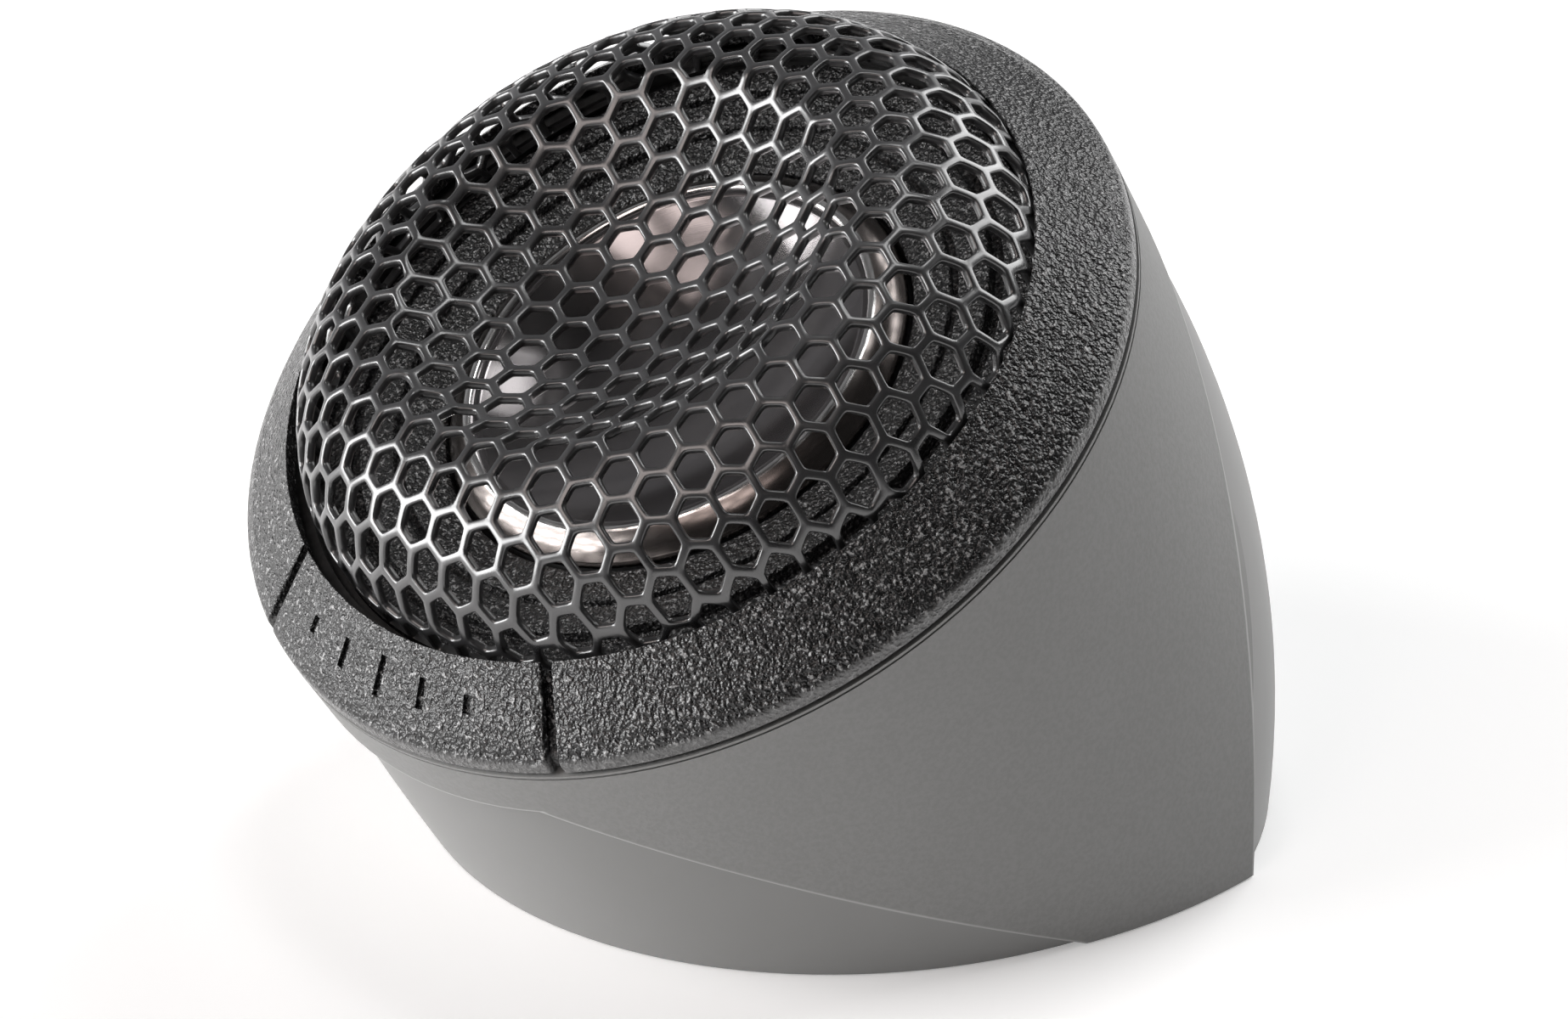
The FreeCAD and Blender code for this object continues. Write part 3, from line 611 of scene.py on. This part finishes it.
def pod_material():
    """Grey plastic: grained on the band and the side panels, smooth at the front below and at
    the back, with a painted highlight, a paler line painted along the edges between them."""
    g = Graph("pod_plastic_look")
    split = g.add("ShaderNodeSeparateXYZ")
    g.link(g.place, split.inputs[0])
    y, z = split.outputs["Y"], split.outputs["Z"]
    over_band_edge = g.math("SUBTRACT", g.along_axis(), BAND_EDGE * MM)
    panel_edge = g.math("ADD", g.math("MULTIPLY", y, PANEL_EDGE[0]), PANEL_EDGE[1] * MM)
    over_panel_edge = g.math("SUBTRACT", z, panel_edge)
    rear_edge = g.math("ADD", g.math("MULTIPLY", z, REAR_EDGE[0]), REAR_EDGE[1] * MM)
    before_rear_edge = g.math("SUBTRACT", rear_edge, y)
    on_band = g.math("GREATER_THAN", over_band_edge, 0.0)
    on_panel = g.math("GREATER_THAN", over_panel_edge, 0.0)
    ahead = g.math("GREATER_THAN", before_rear_edge, 0.0)
    below_band = g.math("SUBTRACT", 1.0, on_band)
    # Painted highlight: a paler line is painted along the band's, the panels' and the rear edges, where light
    # would catch them.
    well_on_panel = g.math("GREATER_THAN", over_panel_edge, EDGE_HIGHLIGHT_WIDTH * MM)
    off_panel = g.math("SUBTRACT", 1.0, well_on_panel)
    painted_slope_highlight = g.math("MULTIPLY", g.near(over_panel_edge, EDGE_HIGHLIGHT_WIDTH), below_band)
    painted_band_highlight = g.math("MULTIPLY", g.near(over_band_edge, EDGE_HIGHLIGHT_WIDTH), off_panel)
    painted_side_highlights = g.math("MULTIPLY", g.math("MAXIMUM", painted_slope_highlight, painted_band_highlight), ahead)
    painted_edge_highlight = g.math("MAXIMUM", painted_side_highlights, g.near(before_rear_edge, EDGE_HIGHLIGHT_WIDTH))
    grain_here = g.math("MULTIPLY", g.math("MAXIMUM", on_band, on_panel), ahead)
    grain = g.noise(0.30, 2.0, 0.6)
    smooth = g.noise(0.9, 2.0, 0.5)
    wide = g.noise(9.0, 2.0)
    height = g.math("ADD", g.math("MULTIPLY", grain, grain_here), g.math("MULTIPLY", smooth, 0.10))
    tint = g.blend(g.spread(wide, 0.3, 0.7), (0.225, 0.225, 0.221), (0.240, 0.240, 0.237))
    speck = g.math("MULTIPLY", g.spread(grain, 0.38, 0.62, -0.5, 0.5), grain_here)
    share = g.math("ADD", 0.5, g.math("MULTIPLY", speck, 0.22))
    skin = g.blend(share, (0.15, 0.15, 0.147), tint)
    # The colour takes the painted highlight along the edges.
    g.colour(g.blend(g.math("MULTIPLY", painted_edge_highlight, 0.75), skin, (0.46, 0.46, 0.455)))
    g.rough(g.math("ADD", 0.44, g.math("MULTIPLY", grain_here, 0.10)))
    g.bump(height, 0.016)
    return g.material


def mesh_material():
    """Black satin paint with a clear, glossy coat."""
    g = Graph("mesh_paint")
    fine = g.noise(0.10, 2.0)
    wide = g.noise(3.0, 2.0)
    g.colour(g.blend(g.spread(wide, 0.3, 0.7), (0.016, 0.016, 0.017), (0.026, 0.026, 0.027)))
    g.rough(g.spread(wide, 0.3, 0.7, 0.26, 0.34))
    g.bump(fine, 0.004)
    g.set(Specular_IOR_Level=1.0, Coat_Weight=0.6, Coat_Roughness=0.2)
    return g.material


def dome_material():
    """Aluminium with faint turning marks, its colour holding painted light: a bowl darkened as
    painted shade, a bright ridge line as a painted highlight, and a dull, darker, browner skirt.
    """
    g = Graph("dome_metal")
    from_centre = g.add("ShaderNodeVectorMath", operation="SUBTRACT")
    g.link(g.place, from_centre.inputs[0])
    from_centre.inputs[1].default_value = CENTRE
    across = g.add("ShaderNodeVectorMath", operation="CROSS_PRODUCT")
    g.link(from_centre.outputs[0], across.inputs[0])
    across.inputs[1].default_value = AXIS
    radius = g.add("ShaderNodeVectorMath", operation="LENGTH")
    g.link(across.outputs[0], radius.inputs[0])
    along = g.add("ShaderNodeCombineXYZ")
    g.link(radius.outputs["Value"], along.inputs[0])
    marks = g.noise(0.05, 2.0, 0.7, along.outputs[0])
    wide = g.noise(4.0, 2.0)
    from_axis = radius.outputs["Value"]
    # Painted highlight: a bright line is painted on the ridge, between these radii.
    rolled = g.spread(from_axis, RIDGE_HIGHLIGHT_STARTS[0] * MM, RIDGE_HIGHLIGHT_STARTS[1] * MM)
    outside = g.spread(from_axis, RIDGE_HIGHLIGHT_ENDS[0] * MM, RIDGE_HIGHLIGHT_ENDS[1] * MM)
    # Painted shade: the bowl's metal is darkened to stand for its dark reflections.
    bowl = g.blend(g.spread(wide, 0.3, 0.7), (0.27, 0.255, 0.26), (0.33, 0.31, 0.31))
    line = g.blend(rolled, bowl, (0.92, 0.91, 0.90))
    g.colour(g.blend(outside, line, (0.22, 0.195, 0.185)))
    satin = g.spread(marks, 0.3, 0.7, 0.12, 0.18)
    g.rough(g.math("ADD", satin, g.math("MULTIPLY", outside, 0.05)))
    g.bump(marks, 0.0012)
    g.set(Metallic=1.0)
    return g.material


def make_materials():
    """One material per slot. grained: dark, light, roughness, grain and depth in millimetres,
    painted glints, painted wall sheen. plain: dark, light, roughness, size and depth in millimetres, metal."""
    grains = {
        "base_plastic": ("base_grain", grey(0.02), grey(0.04), 0.5, 0.35, 0.03),
        "pad_foam": ("foam_cells", grey(0.012), grey(0.035), 0.85, 0.35, 0.09),
        "soft_rubber": ("rubber", grey(0.012), grey(0.025), 0.65, 0.5, 0.012),
        "inner_plastic": ("inner_grain", grey(0.012), grey(0.026), 0.5, 0.4, 0.02),
        # face_grain carries painted glints on its grain's crests.
        "face_plastic": ("face_grain", grey(0.008), (0.030, 0.030, 0.031), 0.32, 0.26, 0.45, 0.20),
        "felt": ("felt_fibres", grey(0.02), grey(0.06), 0.9, 0.18, 0.08),
        "surround_rubber": ("surround_skin", grey(0.01), grey(0.02), 0.6, 0.3, 0.01),
    }
    plains = {
        "screw_steel": ("zinc_plate", (0.46, 0.46, 0.47), grey(0.58), 0.32, 0.3, 0.004, 1.0),
        "yoke_steel": ("passivated_steel", (0.20, 0.20, 0.21), (0.30, 0.30, 0.31), 0.38, 0.3, 0.004,
                       1.0),
        "magnet_nickel": ("nickel", (0.60, 0.59, 0.55), (0.70, 0.69, 0.65), 0.22, 0.5, 0.002, 1.0),
        "board": ("laminate", (0.035, 0.075, 0.045), (0.05, 0.10, 0.06), 0.45, 0.3, 0.006),
        "terminal_metal": ("tin_plate", (0.66, 0.63, 0.52), (0.76, 0.72, 0.60), 0.28, 0.4, 0.003,
                           1.0),
        "lead_insulation": ("lead_sleeve", (0.20, 0.02, 0.02), (0.28, 0.03, 0.03), 0.5, 0.3, 0.004),
        "former_film": ("film", (0.42, 0.24, 0.07), (0.55, 0.33, 0.11), 0.3, 0.4, 0.003),
        "coil_copper": ("enamelled_wire", (0.55, 0.24, 0.12), (0.70, 0.34, 0.18), 0.3, 0.12, 0.02,
                        1.0),
    }
    # The bezel's grain carries painted glints on its crests and a painted sheen on its outer side.
    bezel = grained("bezel_grain", grey(0.003), (0.022, 0.022, 0.023), 0.25, 0.26, 0.30, 0.22, True)
    made = {"pod_plastic": pod_material(), "bezel_plastic": bezel, "badge_plastic": bezel,
            "mesh_metal": mesh_material(), "dome_aluminium": dome_material()}
    made.update({slot: grained(*values) for slot, values in grains.items()})
    made.update({slot: plain(*values) for slot, values in plains.items()})
    return made


# ---- pieces --------------------------------------------------------------------------
materials = make_materials()
slots = {part["node"]: part["material_slot"] for part in record["subparts"]}
for name, node in nodes.items():
    node.data.materials.clear()
    node.data.materials.append(materials[slots[name]])

replacements = (("bezel_ring", "module", bezel_piece()), ("badge_segment", "module", badge_piece()),
                ("grille", "module", grille_piece()), ("face_plate", "module", face_piece()),
                ("dome", "diaphragm", dome_piece()), ("surround", "diaphragm", surround_piece()))
for node, body, piece in replacements:
    piece.data.materials.clear()
    piece.data.materials.append(materials[slots[node]])
    if node == "surround":
        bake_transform(piece)
    else:
        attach(piece, body)
    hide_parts(node)


# ---- camera --------------------------------------------------------------------------
AZIMUTH = math.radians(51.94)
ELEVATION = math.radians(28.57)
AIM = Vector((0.00345, -0.00517, 0.01935))
DISTANCE = 0.4348
LENS = 183.7
back = Vector((math.sin(AZIMUTH) * math.cos(ELEVATION), -math.cos(AZIMUTH) * math.cos(ELEVATION),
               math.sin(ELEVATION)))
camera = bpy.data.objects.new("camera", bpy.data.cameras.new("camera"))
bpy.context.scene.collection.objects.link(camera)
camera.location = AIM + back * DISTANCE
camera.rotation_mode = "QUATERNION"
camera.rotation_quaternion = (-back).to_track_quat("-Z", "Y")
camera.data.lens = LENS
camera.data.sensor_width = 36.0
camera.data.clip_start = 0.01
bpy.context.scene.camera = camera

# ---- studio --------------------------------------------------------------------------
picture_right = Vector((math.cos(AZIMUTH), math.sin(AZIMUTH), 0.0))
away = Vector((-math.sin(AZIMUTH), math.cos(AZIMUTH), 0.0))
UP = Vector((0.0, 0.0, 1.0))


def softbox(name, right, behind, high, width, height, power, tint=(1.0, 1.0, 1.0)):
    """Rectangular light that faces the tweeter, placed as the camera sees it, in metres."""
    lamp = bpy.data.lights.new(name, "AREA")
    lamp.shape = "RECTANGLE"
    lamp.size = width
    lamp.size_y = height
    lamp.energy = power
    lamp.color = tint
    holder = bpy.data.objects.new(name, lamp)
    bpy.context.scene.collection.objects.link(holder)
    holder.location = picture_right * right + away * behind + UP * high
    holder.rotation_mode = "QUATERNION"
    holder.rotation_quaternion = (holder.location - CENTRE).to_track_quat("Z", "Y")


softbox("left_wall", -0.58, -0.06, 0.13, 0.55, 0.32, 6.0)
softbox("back_top", 0.42, 0.36, 0.38, 0.60, 0.50, 4.2)
softbox("overhead", 0.02, 0.12, 0.60, 0.16, 0.16, 0.5)
softbox("near_left", -0.27, -0.22, 0.40, 0.46, 0.16, 0.75, (1.0, 0.88, 0.84))

FLOOR_HALF = 3.0
FLOOR_DROP = 0.0001
floor_mesh = bpy.data.meshes.new("floor")
floor_corners = [(x * FLOOR_HALF, y * FLOOR_HALF, 0)
                 for x, y in ((-1, -1), (1, -1), (1, 1), (-1, 1))]
floor_mesh.from_pydata(floor_corners, [], [(0, 1, 2, 3)])
floor = bpy.data.objects.new("floor", floor_mesh)
floor.location.z = -FLOOR_DROP
bpy.context.scene.collection.objects.link(floor)
# White paper, which is see-through from below.
g = Graph("floor_paper")
g.set(Base_Color=(0.90, 0.90, 0.90, 1.0), Roughness=0.9, Specular_IOR_Level=0.1,
      Emission_Color=(1.0, 1.0, 1.0, 1.0), Emission_Strength=0.26)
backfacing = g.add("ShaderNodeNewGeometry").outputs["Backfacing"]
clear = g.add("ShaderNodeBsdfTransparent")
mixer = g.add("ShaderNodeMixShader")
g.link(backfacing, mixer.inputs[0])
g.link(g.shader.outputs[0], mixer.inputs[1])
g.link(clear.outputs[0], mixer.inputs[2])
g.link(mixer.outputs[0], g.tree.nodes["Material Output"].inputs["Surface"])
floor_mesh.materials.append(g.material)

# The surroundings: plain white to the camera, and to all else a grey that brightens behind.
WORLD_STRENGTH = 0.36
BRIGHT_SIDE = (away * 0.95 - picture_right * 0.35).normalized()
DARK_FROM = 0.55
world = bpy.data.worlds.new("studio")
bpy.context.scene.world = world
world.use_nodes = True
tree = world.node_tree
tree.nodes.clear()
out = tree.nodes.new("ShaderNodeOutputWorld")
direction = tree.nodes.new("ShaderNodeTexCoord")
dot = tree.nodes.new("ShaderNodeVectorMath")
dot.operation = "DOT_PRODUCT"
dot.inputs[1].default_value = BRIGHT_SIDE
half = tree.nodes.new("ShaderNodeMath")
half.operation = "MULTIPLY_ADD"
half.inputs[1].default_value = 0.5
half.inputs[2].default_value = 0.5
ramp = tree.nodes.new("ShaderNodeValToRGB")
dark_end, bright_end = ramp.color_ramp.elements
dark_end.position = DARK_FROM
dark_end.color = (0.10, 0.10, 0.10, 1.0)
bright_end.position = 1.0
bright_end.color = (0.9, 0.9, 0.92, 1.0)
gradient = tree.nodes.new("ShaderNodeBackground")
gradient.inputs["Strength"].default_value = WORLD_STRENGTH
white = tree.nodes.new("ShaderNodeBackground")
white.inputs["Color"].default_value = (1.0, 1.0, 1.0, 1.0)
ray = tree.nodes.new("ShaderNodeLightPath")
choose = tree.nodes.new("ShaderNodeMixShader")
for source, target in ((direction.outputs["Generated"], dot.inputs[0]),
                       (dot.outputs["Value"], half.inputs[0]),
                       (half.outputs[0], ramp.inputs[0]),
                       (ramp.outputs[0], gradient.inputs["Color"]),
                       (ray.outputs["Is Camera Ray"], choose.inputs[0]),
                       (gradient.outputs[0], choose.inputs[1]),
                       (white.outputs[0], choose.inputs[2]),
                       (choose.outputs[0], out.inputs["Surface"])):
    tree.links.new(source, target)
bpy.context.scene.view_settings.view_transform = "Standard"
